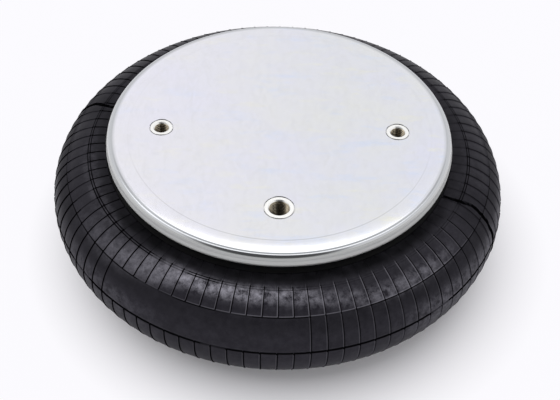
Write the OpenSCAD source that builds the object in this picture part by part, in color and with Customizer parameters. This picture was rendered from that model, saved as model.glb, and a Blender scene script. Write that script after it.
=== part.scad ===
// Single-convolution air bellows actuator: two crimped steel bead plates and a
// cord-reinforced rubber wall. +Z is the stroke, the origin is the centre of the
// lower mounting face, and the plates' nuts lie along X.

/* [Overall] */
// Height between the two mounting faces, as it stands without air
rest_height = 98; // [88:0.5:112]
// Outside diameter of the bead plates
plate_d = 231; // [200:0.5:260]
// How far the centre of the bulge's section circle lies outside the plate's rim
bulge_offset = 2.8; // [1:0.1:6]

/* [Bead plates] */
// Thickness of the pressed steel sheet
sheet_t = 2.5; // [2.2:0.1:2.8]
// Width of the band that slopes from the flat mounting face to the rim's bend
slope_w = 10.3; // [6:0.1:14]
// How far the face has sloped down where the rim starts to turn
edge_drop = 0.6; // [0.2:0.1:1]
// Outside radius of the rim's two bends
rim_round = 3.7; // [3.4:0.1:4.2]
// Depth of the rolled rim, from the mounting face to the lip's underside
rim_depth = 10.5; // [10:0.1:12]
// How far the lip reaches inward past the lower bend
lip_reach = 5.3; // [4.5:0.1:6.5]

/* [Blind nuts] */
// Distance of a blind nut's axis from the plate's rim
nut_edge = 36.75; // [34:0.25:44]
// Nominal thread diameter of the blind nuts
nut_thread_d = 10; // [8:1:12]
// Depth of the threaded hole
nut_thread_depth = 15.5; // [12:0.5:17]
// Diameter of the nut's collar, which shows in the plate
nut_collar_d = 15; // [14:0.5:17]
// Diameter of the nut's body under the plate
nut_body_d = 20; // [19:0.5:24]
// Full depth of the nut from the mounting face
nut_depth = 19; // [18:0.5:21]

/* [Air inlet] */
// Distance of the air inlet's axis from the plate's rim
inlet_edge = 42.5; // [38:0.25:52]
// Outside diameter of the inlet's pipe thread
inlet_thread_d = 13.16; // [9.5:0.02:16]
// Diameter of the inlet's collar, which shows in the plate
inlet_collar_d = 19; // [18.5:0.5:22]
// Diameter of the inlet's body under the plate
inlet_body_d = 25; // [23:0.5:30]
// Full depth of the inlet boss from the mounting face
inlet_depth = 15; // [12:0.5:20]

/* [Rubber wall] */
// Free height between the rim's lip and the top of the bulge
lip_gap = 3.5; // [2.5:0.1:5]
// Thickness of the outer cover, without its ribs
cover_t = 2.2; // [1.8:0.1:3]
// Thickness of one layer of cord in rubber
ply_t = 1.3; // [1:0.1:1.6]
// Thickness of the airtight liner
liner_t = 1.7; // [1.2:0.1:2.2]
// Angle of the bulge on each side of its widest line
wall_sweep = 95; // [90:1:98]
// Diameter of the bead's steel hoop wire
core_d = 3; // [2.6:0.1:3.2]

/* [Ribs and mould seams] */
// Ribs on each half of the mould
ribs_per_half = 46; // [30:1:60]
// Width of a rib at the widest line
rib_w = 1; // [0.7:0.1:1.6]
// Height of a rib over the skin
rib_h = 0.4; // [0.3:0.05:0.6]
// Latitude at which the ribs and seams run out, above and below the widest line
rib_end = 86; // [80:0.5:88]
// Direction of the first mould seam, turning from +X towards +Y
seam_angle = -21.4; // [-40:0.1:0]
// Width of the rib-free band along a mould seam, in degrees
seam_band = 5.2; // [4:0.1:8]
// Width of the raised mould seam at the widest line
seam_w = 1.4; // [0.8:0.1:2]
// Height of the raised mould seam over the skin
seam_h = 0.6; // [0.4:0.05:0.8]
// Latitude of the bare panel's upper edge, up from the widest line
panel_high = 46.5; // [40:0.5:55]
// Latitude of the bare panel's lower edge
panel_low = 6.7; // [3:0.1:10]
// Direction in which the bare panel starts, turning from +X
panel_from = -136.4; // [-150:0.1:-120]
// Direction in which the bare panel ends
panel_to = -83.2; // [-110:0.1:-70]

/* [Fits] */
// Clearance of a nut's collar or the inlet's collar in its plate hole
collar_fit = 0.15; // [0.1:0.05:0.3]
// Clearance between bead rubber and steel
bead_seat = 0.2; // [0.1:0.05:0.3]
// Clearance of the hoop wire in its bead
core_fit = 0.1; // [0.05:0.05:0.2]
// Bond line between two layers of the wall
bond_gap = 0.12; // [0.1:0.02:0.2]
// Gap where the wall's layers meet the beads
wall_joint = 0.3; // [0.2:0.05:0.4]
// Clearance of a weld bead round its nut
weld_fit = 0.1; // [0.05:0.05:0.2]

/* [Welds] */
// Leg of the fillet welds under the plates
weld_leg = 3; // [2:0.25:4]

/* [Hidden] */
$fn = 96;

zinc = "gainsboro";
rubber = "#2b2b2f";
wire = "slategray";
cord = "#6b675c";

// Margin by which a cutting shape passes the face that it cuts
over = 1;
plate_r = plate_d / 2;
mid_height = rest_height / 2;

// Rim: centre line of both bends, lip end and the cavity between sheet and lip
bend_r = plate_r - rim_round;
flat_r = bend_r - slope_w;
lip_r = bend_r - lip_reach;
lip_top = rim_depth - sheet_t;
lip_mid = rim_depth - sheet_t / 2;
slope = edge_drop / slope_w;

// Bead: a bulb in the rim's cavity, and a toe that wraps round the lip's end
cavity_h = lip_top - edge_drop - sheet_t;
bulb_r = cavity_h / 2 - bead_seat;
bulb_height = lip_top - bead_seat - bulb_r;
core_ring_r = plate_r - sheet_t - bead_seat - bulb_r;
wall_t = cover_t + 2 * ply_t + liner_t + 3 * bond_gap;
toe_r = sheet_t / 2 + bead_seat + wall_t;

// Bulge: one circular section, tangent to the height left between the lips
skin_r = mid_height - rim_depth - lip_gap;
bulge_r = plate_r + bulge_offset;
cover_in = skin_r - cover_t;
outer_ply_out = cover_in - bond_gap;
outer_ply_in = outer_ply_out - ply_t;
inner_ply_out = outer_ply_in - bond_gap;
inner_ply_in = inner_ply_out - ply_t;
liner_out = inner_ply_in - bond_gap;
liner_in = liner_out - liner_t;
layer_sweep = wall_sweep - wall_joint / liner_in * 180 / PI;

rib_pitch = (180 - seam_band) / (ribs_per_half - 1);
rib_root = cover_t / 4;
nut_x = plate_r - nut_edge;
inlet_offset = plate_r - inlet_edge;
nut_chamfer = nut_thread_d / 16;
inlet_chamfer = inlet_thread_d / 16;

// Carries a shape that was drawn on the lower plate to the upper one
module on_top() {
    translate([0, 0, rest_height]) mirror([0, 0, 1]) children();
}

// Rounded outline of the rim at a depth below its outer surface
module rim_outline(inset) {
    for (h = [edge_drop + rim_round, rim_depth - rim_round])
        translate([bend_r, h]) circle(r = rim_round - inset);
    translate([bend_r, edge_drop + rim_round])
        square([rim_round - inset, rim_depth - edge_drop - 2 * rim_round]);
    polygon([
        [0, inset],
        [flat_r, inset],
        [bend_r, edge_drop + inset],
        [bend_r, rim_depth - inset],
        [0, rim_depth - inset]
    ]);
}

// Section of a pressed plate: sheet, sloped edge, rolled rim and lip
module plate_section() {
    difference() {
        rim_outline(0);
        rim_outline(sheet_t);
        translate([-over, lip_top]) square([lip_r + over, sheet_t + over]);
    }
    translate([lip_r, lip_mid]) circle(r = sheet_t / 2);
}

module bead_plate(hole_list) {
    difference() {
        rotate_extrude($fn = 180) plate_section();
        for (hole = hole_list)
            translate([hole[0], hole[1], -over])
                cylinder(d = hole[2] + 2 * collar_fit, h = sheet_t + 2 * over);
    }
}

// Turned nut with a collar in the plate, a shoulder under it and a closed end
module blind_nut() {
    rotate_extrude() difference() {
        union() {
            square([nut_collar_d / 2, nut_depth]);
            translate([0, sheet_t]) square([nut_body_d / 2, nut_depth - sheet_t]);
        }
        square([nut_thread_d / 2, nut_thread_depth]);
        polygon([
            [0, -nut_chamfer],
            [nut_thread_d / 2 + 2 * nut_chamfer, -nut_chamfer],
            [nut_thread_d / 2, nut_chamfer],
            [0, nut_chamfer]
        ]);
    }
}

// Inlet boss: the same form with its pipe thread right through
module inlet_boss() {
    rotate_extrude() difference() {
        union() {
            square([inlet_collar_d / 2, inlet_depth]);
            translate([0, sheet_t]) square([inlet_body_d / 2, inlet_depth - sheet_t]);
        }
        translate([0, -over]) square([inlet_thread_d / 2, inlet_depth + 2 * over]);
        polygon([
            [0, -inlet_chamfer],
            [inlet_thread_d / 2 + 2 * inlet_chamfer, -inlet_chamfer],
            [inlet_thread_d / 2, inlet_chamfer],
            [0, inlet_chamfer]
        ]);
    }
}

// Fillet weld between the sheet's inside and a turned body
module fillet_weld(body_d) {
    foot_r = body_d / 2 + weld_fit;
    rotate_extrude()
        polygon([
            [foot_r, sheet_t],
            [foot_r + weld_leg, sheet_t],
            [foot_r, sheet_t + weld_leg]
        ]);
}

// Points of the bulge's section, by its radius and latitude below the middle
function wall_point(radius) = [
    bulge_r + radius * cos(wall_sweep),
    mid_height - radius * sin(wall_sweep)
];

// Section of the rubber bead: bulb in the rim, toe round the lip, tongue to the wall
module filler_section() {
    difference() {
        union() {
            translate([core_ring_r, bulb_height]) circle(r = bulb_r);
            translate([lip_r, 0]) square([core_ring_r - lip_r, lip_top - bead_seat]);
            intersection() {
                translate([lip_r, lip_mid]) circle(r = toe_r);
                square([lip_r, lip_mid + toe_r]);
            }
            polygon([
                [lip_r, rim_depth + bead_seat],
                wall_point(skin_r),
                wall_point(liner_in),
                [lip_r, lip_mid + toe_r]
            ]);
        }
        polygon([
            [0, -over],
            [0, sheet_t + bead_seat],
            [flat_r, sheet_t + bead_seat],
            [plate_r, sheet_t + bead_seat + slope * (plate_r - flat_r)],
            [plate_r, -over]
        ]);
        translate([lip_r, lip_mid]) circle(r = sheet_t / 2 + bead_seat);
        translate([core_ring_r, bulb_height]) circle(d = core_d + 2 * core_fit);
    }
}

module bead_filler() {
    rotate_extrude($fn = 180) filler_section();
}

module bead_core() {
    rotate_extrude($fn = 180)
        translate([core_ring_r, bulb_height]) circle(d = core_d, $fn = 32);
}

// Part of a section circle between two radii and two latitudes
module arc_band(inside, outside, low, high) {
    reach = 2 * outside;
    middle = (low + high) / 2;
    rotate(middle) difference() {
        circle(r = outside);
        circle(r = inside);
        for (side = [-1, 1]) {
            edge = (high - low) / 2;
            polygon([
                [0, 0],
                reach * [cos(edge), side * sin(edge)],
                reach * [cos(135), side * sin(135)],
                [-reach, 0]
            ]);
        }
    }
}

// One layer of the wall, as a ring round the axis
module layer(inside, outside) {
    rotate_extrude($fn = 180)
        translate([bulge_r, 0]) arc_band(inside, outside, -layer_sweep, layer_sweep);
}

// Carries a layer to the middle of the height
module at_middle() {
    translate([0, 0, mid_height]) children();
}

// Direction of a rib, counted from the first seam over both halves of the mould
function rib_direction(i) =
    seam_angle + seam_band / 2 + (i % ribs_per_half) * rib_pitch + floor(i / ribs_per_half) * 180;

function wrapped(direction) = direction > 180 ? direction - 360 : direction;

function in_panel(direction) = wrapped(direction) > panel_from && wrapped(direction) < panel_to;

// Latitudes between which a rib runs: two stretches where it meets the bare panel
function rib_spans(direction) = in_panel(direction)
    ? [[-rib_end, panel_low], [panel_high, rib_end]]
    : [[-rib_end, rib_end]];

// Every ridge on the skin, as direction, width, height and span of latitudes
ridges = [
    for (half = [0, 180]) [seam_angle + half, seam_w, seam_h, [-rib_end, rib_end]],
    for (i = [0 : 2 * ribs_per_half - 1])
        for (span = rib_spans(rib_direction(i))) [rib_direction(i), rib_w, rib_h, span]
];

// Meridian ridge, with its width taken at the widest line and its root in the skin
module ridge(direction, width, height, span) {
    turn = width / (bulge_r + skin_r) * 180 / PI;
    rotate(direction - turn / 2) rotate_extrude(angle = turn, $fn = 180)
        translate([bulge_r, 0]) arc_band(skin_r - rib_root, skin_r + height, span[0], span[1]);
}

module bottom_bead_plate() {
    color(zinc) bead_plate([for (x = [-nut_x, nut_x]) [x, 0, nut_collar_d]]);
}

module top_bead_plate() {
    nut_holes = [for (x = [-nut_x, nut_x]) [x, 0, nut_collar_d]];
    inlet_hole = [0, -inlet_offset, inlet_collar_d];
    color(zinc) on_top() bead_plate(concat(nut_holes, [inlet_hole]));
}

module bottom_nut(x) {
    color(zinc) translate([x, 0, 0]) blind_nut();
}

module top_nut(x) {
    color(zinc) on_top() translate([x, 0, 0]) blind_nut();
}

module air_inlet_boss() {
    color(zinc) on_top() translate([0, -inlet_offset, 0]) inlet_boss();
}

module bottom_weld(x) {
    color(wire) translate([x, 0, 0]) fillet_weld(nut_body_d);
}

module top_weld(x) {
    color(wire) on_top() translate([x, 0, 0]) fillet_weld(nut_body_d);
}

module air_inlet_weld() {
    color(wire) on_top() translate([0, -inlet_offset, 0]) fillet_weld(inlet_body_d);
}

module inner_liner() {
    color(rubber) at_middle() layer(liner_in, liner_out);
}

module inner_cord_ply() {
    color(cord) at_middle() layer(inner_ply_in, inner_ply_out);
}

module outer_cord_ply() {
    color(cord) at_middle() layer(outer_ply_in, outer_ply_out);
}

// The skin and its ridges are passes of one loop, so that they join in a single union
module outer_cover() {
    color(rubber) at_middle()
        for (i = [-1 : len(ridges) - 1])
            if (i < 0) layer(cover_in, skin_r);
            else ridge(ridges[i][0], ridges[i][1], ridges[i][2], ridges[i][3]);
}

bottom_bead_plate();
top_bead_plate();
bottom_nut(-nut_x);  // bottom_left_blind_nut
bottom_nut(nut_x);  // bottom_right_blind_nut
top_nut(-nut_x);  // top_left_blind_nut
top_nut(nut_x);  // top_right_blind_nut
air_inlet_boss();
bottom_weld(-nut_x);  // bottom_left_nut_weld
bottom_weld(nut_x);  // bottom_right_nut_weld
top_weld(-nut_x);  // top_left_nut_weld
top_weld(nut_x);  // top_right_nut_weld
air_inlet_weld();
color(rubber) bead_filler();  // bottom_bead_filler
color(rubber) on_top() bead_filler();  // top_bead_filler
color(wire) bead_core();  // bottom_bead_core
color(wire) on_top() bead_core();  // top_bead_core
inner_liner();
inner_cord_ply();
outer_cord_ply();
outer_cover();
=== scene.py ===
# %% [markdown]
# # An air bellows actuator
#
# A bulge of cord-reinforced rubber is clamped between two pressed steel plates. Air let in through the
# upper plate lifts it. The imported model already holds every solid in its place, so this lesson only dresses
# it: fine meshes go where a solid is too plain, and every surface gets a finish.

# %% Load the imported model
import math

import bmesh
import bpy
import numpy as np
from mathutils import Matrix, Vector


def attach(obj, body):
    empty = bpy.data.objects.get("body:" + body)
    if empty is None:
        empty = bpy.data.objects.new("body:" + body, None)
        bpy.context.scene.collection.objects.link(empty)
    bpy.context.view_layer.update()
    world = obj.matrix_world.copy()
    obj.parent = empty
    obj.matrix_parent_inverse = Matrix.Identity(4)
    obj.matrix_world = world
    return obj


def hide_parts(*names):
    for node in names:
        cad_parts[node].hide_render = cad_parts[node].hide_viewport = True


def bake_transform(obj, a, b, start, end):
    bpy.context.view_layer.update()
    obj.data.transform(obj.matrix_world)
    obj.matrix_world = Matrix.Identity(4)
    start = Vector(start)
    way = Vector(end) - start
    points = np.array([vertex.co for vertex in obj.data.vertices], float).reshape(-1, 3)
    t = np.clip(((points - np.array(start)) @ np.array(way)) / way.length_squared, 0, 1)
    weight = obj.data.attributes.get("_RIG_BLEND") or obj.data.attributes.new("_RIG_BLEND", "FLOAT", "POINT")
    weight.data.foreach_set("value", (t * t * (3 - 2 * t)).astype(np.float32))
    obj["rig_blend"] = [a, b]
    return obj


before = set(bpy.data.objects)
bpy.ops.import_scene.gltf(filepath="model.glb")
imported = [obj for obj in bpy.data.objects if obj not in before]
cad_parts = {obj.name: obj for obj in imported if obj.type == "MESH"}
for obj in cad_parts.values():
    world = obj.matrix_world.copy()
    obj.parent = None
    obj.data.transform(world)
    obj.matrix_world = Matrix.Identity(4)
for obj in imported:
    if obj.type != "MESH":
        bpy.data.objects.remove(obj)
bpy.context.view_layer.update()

# %% [markdown]
# ## Camera
#
# A product shot is taken from arm's length with a short telephoto lens, which keeps the plate's ellipse
# calm. The camera could be aimed by a constraint. A product of plain matrices is used, because each factor
# says one thing: how far away, how high, and how the photographer's hand was turned.

# %% Stand the camera
MM = 0.001
HEIGHT = 98

CAMERA_DISTANCE = 0.8563
CAMERA_RISE = 41.95
CAMERA_ROUND = -0.93
CAMERA_PAN = -0.111
CAMERA_TILT = -3.143
CAMERA_ROLL = 1.76
CAMERA_LENS = 82.47
CAMERA_SENSOR = 36


def turn(degrees, axis):
    """A turn about one axis"""
    return Matrix.Rotation(math.radians(degrees), 4, axis)


rise = math.radians(CAMERA_RISE)
stand = Matrix.Translation(
    (0, -CAMERA_DISTANCE * math.cos(rise), HEIGHT * MM + CAMERA_DISTANCE * math.sin(rise))
)
aim = turn(90 - CAMERA_RISE, "X") @ turn(CAMERA_PAN, "Y")
aim = aim @ turn(CAMERA_TILT, "X") @ turn(CAMERA_ROLL, "Z")

scene = bpy.context.scene
camera = bpy.data.objects.new("camera", bpy.data.cameras.new("camera"))
camera.data.sensor_width = CAMERA_SENSOR
camera.data.lens = CAMERA_LENS
camera.matrix_world = turn(CAMERA_ROUND, "Z") @ stand @ aim
scene.collection.objects.link(camera)
scene.camera = camera
print("Camera at", [round(value, 3) for value in camera.matrix_world.translation])

# %% [markdown]
# ## Nodes and colours
#
# Shader trees grow long when every node takes three lines. One small function adds any node: it gets the
# node's inputs as values or as sockets to link from, and its settings as keywords. Two more start a finish
# and link it to its shader. Colours are written as they look on a screen and turned into the linear values
# that light is counted in.

# %% Functions for colours, nodes and finishes
def linear(code):
    """Linear colour from an sRGB hex value"""
    parts = [int(code[i : i + 2], 16) / 255 for i in (1, 3, 5)]
    return (*(p / 12.92 if p <= 0.04045 else ((p + 0.055) / 1.055) ** 2.4 for p in parts), 1)


def add_node(tree, kind, inputs=None, **settings):
    """A new node with its settings, and a value or a link for each named input"""
    node = tree.nodes.new(kind)
    for name, value in settings.items():
        setattr(node, name, value)
    for socket, value in (inputs or {}).items():
        if isinstance(value, bpy.types.NodeSocket):
            tree.links.new(value, node.inputs[socket])
        else:
            node.inputs[socket].default_value = value
    return node


def start_finish(name, metallic=0.0):
    """A new material, with its node tree and its shader"""
    material = bpy.data.materials.new(name)
    material.use_nodes = True
    shader = material.node_tree.nodes["Principled BSDF"]
    shader.inputs["Metallic"].default_value = metallic
    return material, material.node_tree, shader


def dress(tree, shader, colour, roughness=None, normal=None):
    """Links a finish's colour, roughness and relief to its shader"""
    for name, output in (("Base Color", colour), ("Roughness", roughness), ("Normal", normal)):
        if output is not None:
            tree.links.new(output, shader.inputs[name])


print("Mid grey #808080 is", round(linear("#808080")[0], 3), "in linear light")

# %% [markdown]
# ## Studio
#
# The object stands on a white table under one wide panel, in a white room that is dark only above the
# photographer's head. The room could be built from walls. A world is lighter: it looks white to the eye and
# in the metal, and gives the surfaces a gentler level, so that colours come out as they are written. The
# dark part is a fixed direction of the room, which draws the dark stripe along the rim's shoulder.

# %% White room
ROOM_LIGHT = 0.82

world = bpy.data.worlds.new("white_room")
world.use_nodes = True
scene.world = world
scene.view_settings.view_transform = "Standard"
tree = world.node_tree
ray = add_node(tree, "ShaderNodeLightPath")
sharp = add_node(
    tree, "ShaderNodeMath",
    {0: ray.outputs["Is Glossy Ray"], 1: ray.outputs["Is Transmission Ray"]}, operation="MAXIMUM",
)
seen = add_node(
    tree, "ShaderNodeMath", {0: ray.outputs["Is Camera Ray"], 1: sharp.outputs[0]}, operation="MAXIMUM"
)
level = add_node(
    tree, "ShaderNodeMapRange", {"Value": seen.outputs[0], "To Min": ROOM_LIGHT, "To Max": 1.0}
)
print("White room with diffuse light", ROOM_LIGHT)

# %% Its dark part
DARK_SIDE = (-0.07, -0.52, 0.85)
DARK_SHARE = 0.9
# Cosines of the angle from that direction
DARK_FROM = 0.76
DARK_FULL = 0.92

direction = add_node(tree, "ShaderNodeTexCoord")
facing = add_node(
    tree, "ShaderNodeVectorMath", {0: direction.outputs["Generated"], 1: DARK_SIDE},
    operation="DOT_PRODUCT",
)
dark = add_node(
    tree, "ShaderNodeMapRange",
    {"Value": facing.outputs["Value"], "From Min": DARK_FROM, "From Max": DARK_FULL, "To Max": DARK_SHARE},
    interpolation_type="SMOOTHSTEP",
)
# Only reflections see it, so the light on matt surfaces stays even
reflected = add_node(
    tree, "ShaderNodeMath", {0: dark.outputs[0], 1: ray.outputs["Is Glossy Ray"]}, operation="MULTIPLY"
)
kept = add_node(tree, "ShaderNodeMath", {0: 1.0, 1: reflected.outputs[0]}, operation="SUBTRACT")
strength = add_node(
    tree, "ShaderNodeMath", {0: level.outputs[0], 1: kept.outputs[0]}, operation="MULTIPLY"
)
background = tree.nodes["Background"]
background.inputs["Color"].default_value = (1, 1, 1, 1)
tree.links.new(strength.outputs[0], background.inputs["Strength"])
print("Dark towards", DARK_SIDE)

# %% Overhead panel
PANEL_AT = (-0.3, 0.5, 1.5)
PANEL_SIZE = (2.4, 0.8)
PANEL_POWER = 6.0

light = bpy.data.lights.new("overhead_panel", "AREA")
light.shape = "RECTANGLE"
light.size, light.size_y = PANEL_SIZE
light.energy = PANEL_POWER
lamp = bpy.data.objects.new("overhead_panel", light)
lamp.location = PANEL_AT
scene.collection.objects.link(lamp)
print("Panel of", PANEL_SIZE, "m at", PANEL_AT)

# %% [markdown]
# ### Table
#
# A studio table is matt white laminate. The shadow lies close to the object, a little to its right as the
# panel hangs to the left, and further out such a picture is plain white. More light could bleach the table,
# but the object with it. So the table itself turns to plain white for the camera, away from the object.

# %% White table
TABLE_HALF = 4.0
TABLE_DROP = 0.2 * MM
SHADOW_AT = (8 * MM, -2 * MM, 0)
SHADOW_FROM = 128 * MM
SHADOW_TO = 186 * MM
TABLE_WHITE = 0.97

table_mesh = bpy.data.meshes.new("table")
signs = ((-1, -1), (1, -1), (1, 1), (-1, 1))
corners = [(x * TABLE_HALF, y * TABLE_HALF, -TABLE_DROP) for x, y in signs]
table_mesh.from_pydata(corners, [], [(0, 1, 2, 3)])
table = bpy.data.objects.new("table", table_mesh)
scene.collection.objects.link(table)

white_table, tree, shader = start_finish("matt_white_laminate")
shader.inputs["Base Color"].default_value = linear("#F8F7FB")
shader.inputs["Roughness"].default_value = 0.9
shader.inputs["Specular IOR Level"].default_value = 0.0
ray = add_node(tree, "ShaderNodeLightPath")
where = add_node(tree, "ShaderNodeTexCoord").outputs["Object"]
away = add_node(
    tree, "ShaderNodeVectorMath", {0: where, 1: SHADOW_AT}, operation="DISTANCE"
)
whiter = add_node(
    tree, "ShaderNodeMapRange",
    {
        "Value": away.outputs["Value"], "From Min": SHADOW_FROM, "From Max": SHADOW_TO,
        "To Max": TABLE_WHITE,
    },
)
share = add_node(
    tree, "ShaderNodeMath", {0: ray.outputs["Is Camera Ray"], 1: whiter.outputs[0]}, operation="MULTIPLY"
)
white = add_node(tree, "ShaderNodeEmission", {"Color": linear("#FCFBFF"), "Strength": 1.0})
both = add_node(
    tree, "ShaderNodeMixShader", {0: share.outputs[0], 1: shader.outputs[0], 2: white.outputs[0]}
)
tree.links.new(both.outputs[0], tree.nodes["Material Output"].inputs["Surface"])
table_mesh.materials.append(white_table)
print("Table of", 2 * TABLE_HALF, "m")

# %% [markdown]
# ## Bright zinc on pressed steel
#
# The plates are cut from cold-rolled sheet, pressed, and zinc plated with a clear blue passivate. The eye
# gets a cool silver with soft reflections, a faint grain from the rolls, cloudy patches where the bath
# dried, and a few handling scratches. An image could hold all that. Noise is used, since its scale is a
# real size.

# %% Zinc: patterns and their sizes
zinc_plate, tree, shader = start_finish("bright_zinc_on_pressed_steel", metallic=1.0)
where = add_node(tree, "ShaderNodeTexCoord").outputs["Object"]

# Clouds from the plating bath, about 70 mm across
cloud = add_node(
    tree, "ShaderNodeTexNoise",
    {"Vector": where, "Scale": 1 / (70 * MM), "Detail": 4.0, "Roughness": 0.6},
)
patterns = {}
for name, sizes, degrees, noise in (
    # The passivate dries in streaks of some 50 by 14 mm
    ("streak", (50, 14), 25, {"Detail": 5.0, "Roughness": 0.65}),
    # The rinse leaves water marks of some 6 by 12 mm
    ("mark", (6, 12), -20, {"Detail": 6.0, "Roughness": 0.7, "Distortion": 1.0}),
    # Roll grain, really some 0.2 mm apart, is drawn at 0.9 mm so that it shows
    ("grain", (0.9, 28), 0, {"Detail": 2.0}),
    # Handling scratches are about 35 mm long and 0.4 mm wide, which is half a wave of the noise
    ("scratch", (35, 0.8), 38, {"Detail": 1.0}),
):
    scale = (1 / (sizes[0] * MM), 1 / (sizes[1] * MM), 1.0)
    drawn_out = add_node(
        tree, "ShaderNodeMapping",
        {"Vector": where, "Rotation": (0, 0, math.radians(degrees)), "Scale": scale},
    )
    texture = add_node(tree, "ShaderNodeTexNoise", {"Vector": drawn_out.outputs[0], "Scale": 1.0, **noise})
    patterns[name] = texture.outputs["Fac"]
print("Patterns:", ", ".join(patterns))

# %% Zinc: tint and marks
patchy = add_node(
    tree, "ShaderNodeMapRange", {"Value": cloud.outputs["Fac"], "From Min": 0.3, "From Max": 0.7}
)
tint = add_node(
    tree, "ShaderNodeMix",
    {0: patchy.outputs[0], 6: linear("#E2E3E1"), 7: linear("#DDDEEB")}, data_type="RGBA",
)
# The passivate is a clear film, blue where thick and straw where thin
for start, end, colour in ((0.54, 0.68, "#D3DCF0"), (0.44, 0.32, "#E6E5D8")):
    amount = add_node(
        tree, "ShaderNodeMapRange",
        {"Value": patterns["streak"], "From Min": start, "From Max": end, "To Max": 0.6},
    )
    tint = add_node(
        tree, "ShaderNodeMix", {0: amount.outputs[0], 6: tint.outputs[2], 7: linear(colour)},
        data_type="RGBA",
    )
# The sheet is lighter and a little violet towards the left
point = add_node(tree, "ShaderNodeSeparateXYZ", {0: where})
towards_left = add_node(
    tree, "ShaderNodeMapRange",
    {"Value": point.outputs["X"], "From Min": 40 * MM, "From Max": -100 * MM, "To Max": 0.5},
)
tint = add_node(
    tree, "ShaderNodeMix", {0: towards_left.outputs[0], 6: tint.outputs[2], 7: linear("#EEEBF8")},
    data_type="RGBA",
)
# Water marks darken the sheet a little
faint = add_node(
    tree, "ShaderNodeMapRange",
    {"Value": patterns["mark"], "From Min": 0.45, "From Max": 0.75, "To Max": 0.22},
)
marked = add_node(
    tree, "ShaderNodeMix", {0: faint.outputs[0], 6: tint.outputs[2], 7: linear("#C9C9CC")},
    data_type="RGBA",
)
scratch = add_node(
    tree, "ShaderNodeMapRange", {"Value": patterns["scratch"], "From Min": 0.74, "From Max": 0.8}
)
print("Tint and marks of the sheet:", len(tree.nodes), "nodes")

# %% Zinc: the rolled edge
# Distances from the axis between which a change takes place
SHADED_ROLL = (109.2 * MM, 111.8 * MM)
PALE_EDGE = (113.4 * MM, 114.4 * MM)
SATIN = (114.2 * MM, 115.1 * MM)

flat = add_node(
    tree, "ShaderNodeVectorMath", {0: where, 1: (1, 1, 0)}, operation="MULTIPLY"
)
length = add_node(tree, "ShaderNodeVectorMath", {0: flat.outputs[0]}, operation="LENGTH")
from_axis = length.outputs["Value"]

# The clouds are a little rougher, and the edge slid through a die and is satin
varied = add_node(
    tree, "ShaderNodeMapRange",
    {"Value": cloud.outputs["Fac"], "From Min": 0.3, "From Max": 0.7, "To Min": 0.13, "To Max": 0.2},
)
drawn = add_node(
    tree, "ShaderNodeMapRange",
    {"Value": from_axis, "From Min": SATIN[0], "From Max": SATIN[1], "To Max": 0.42},
)
rough = add_node(tree, "ShaderNodeMath", {0: drawn.outputs[0], 1: varied.outputs[0]}, operation="ADD")

# The roll is painted darker as painted shade, all but its outermost edge, which keeps nearly the sheet's tone
# so that its highlight line shows
roll_shade = add_node(
    tree, "ShaderNodeMapRange",
    {"Value": from_axis, "From Min": SHADED_ROLL[0], "From Max": SHADED_ROLL[1]},
)
below_pale_edge = add_node(
    tree, "ShaderNodeMapRange",
    {
        "Value": from_axis, "From Min": PALE_EDGE[0], "From Max": PALE_EDGE[1],
        "To Min": 1.0, "To Max": 0.0,
    },
)
roll_tone = add_node(
    tree, "ShaderNodeMix",
    {0: below_pale_edge.outputs[0], 6: linear("#DEDFDE"), 7: linear("#C0C2C6")}, data_type="RGBA",
)
rolled = add_node(
    tree, "ShaderNodeMix",
    {0: roll_shade.outputs[0], 6: marked.outputs[2], 7: roll_tone.outputs[2]}, data_type="RGBA",
)
print("Rolled edge:", len(tree.nodes), "nodes")

# %% Zinc: painted shade lines, gloss and relief
# Painted shade lies in the die's line and in a faint ring at the crease where the flat ends, and a painted
# dark reflection on the roll, each given by its distance from the axis, its half width in mm and its amount
SHADE_LINES = ((111.5, 0.75, 0.85), (114.4, 0.75, 0.5), (101.0, 0.5, 0.22))

# It is painted strongest in front, towards the inlet
in_front = add_node(
    tree, "ShaderNodeMapRange",
    {
        "Value": point.outputs["Y"], "From Min": -100 * MM, "From Max": -20 * MM,
        "To Min": 1.0, "To Max": 0.12,
    },
)
shaded_tone = rolled
for radius, half_width, amount in SHADE_LINES:
    off_line = add_node(
        tree, "ShaderNodeMath", {0: from_axis, 1: radius * MM}, operation="SUBTRACT"
    )
    off_line = add_node(tree, "ShaderNodeMath", {0: off_line.outputs[0]}, operation="ABSOLUTE")
    painted_shade = add_node(
        tree, "ShaderNodeMapRange",
        {
            "Value": off_line.outputs[0], "From Min": 0.4 * half_width * MM, "From Max": half_width * MM,
            "To Min": amount, "To Max": 0.0,
        },
    )
    painted_shade = add_node(
        tree, "ShaderNodeMath", {0: painted_shade.outputs[0], 1: in_front.outputs[0]}, operation="MULTIPLY"
    )
    shaded_tone = add_node(
        tree, "ShaderNodeMix", {0: painted_shade.outputs[0], 6: shaded_tone.outputs[2], 7: linear("#5C5E60")},
        data_type="RGBA",
    )
gloss = add_node(
    tree, "ShaderNodeMath", {0: scratch.outputs[0], 1: 0.12, 2: rough.outputs[0]},
    operation="MULTIPLY_ADD",
)
relief = add_node(
    tree, "ShaderNodeMath", {0: scratch.outputs[0], 1: -0.5, 2: patterns["grain"]},
    operation="MULTIPLY_ADD",
)
bump = add_node(
    tree, "ShaderNodeBump", {"Height": relief.outputs[0], "Strength": 0.25, "Distance": 0.006 * MM}
)
dress(tree, shader, shaded_tone.outputs[2], gloss.outputs[0], bump.outputs[0])
print("Sheet finish:", len(tree.nodes), "nodes")

# %% [markdown]
# ## Turned steel, weld and wire
#
# The nuts and the inlet are turned on a lathe and plated with the plates. A turning tool leaves rings round
# the axis, so a ring wave about each piece's own origin gives the bump. The weld beads round them are
# lumpy where the steel cooled, and the bead's hoop is drawn wire, stained by the soap it was drawn with.

# %% Turned steel
turned_steel, tree, shader = start_finish("zinc_plated_turned_steel", metallic=1.0)
where = add_node(tree, "ShaderNodeTexCoord").outputs["Object"]

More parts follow.
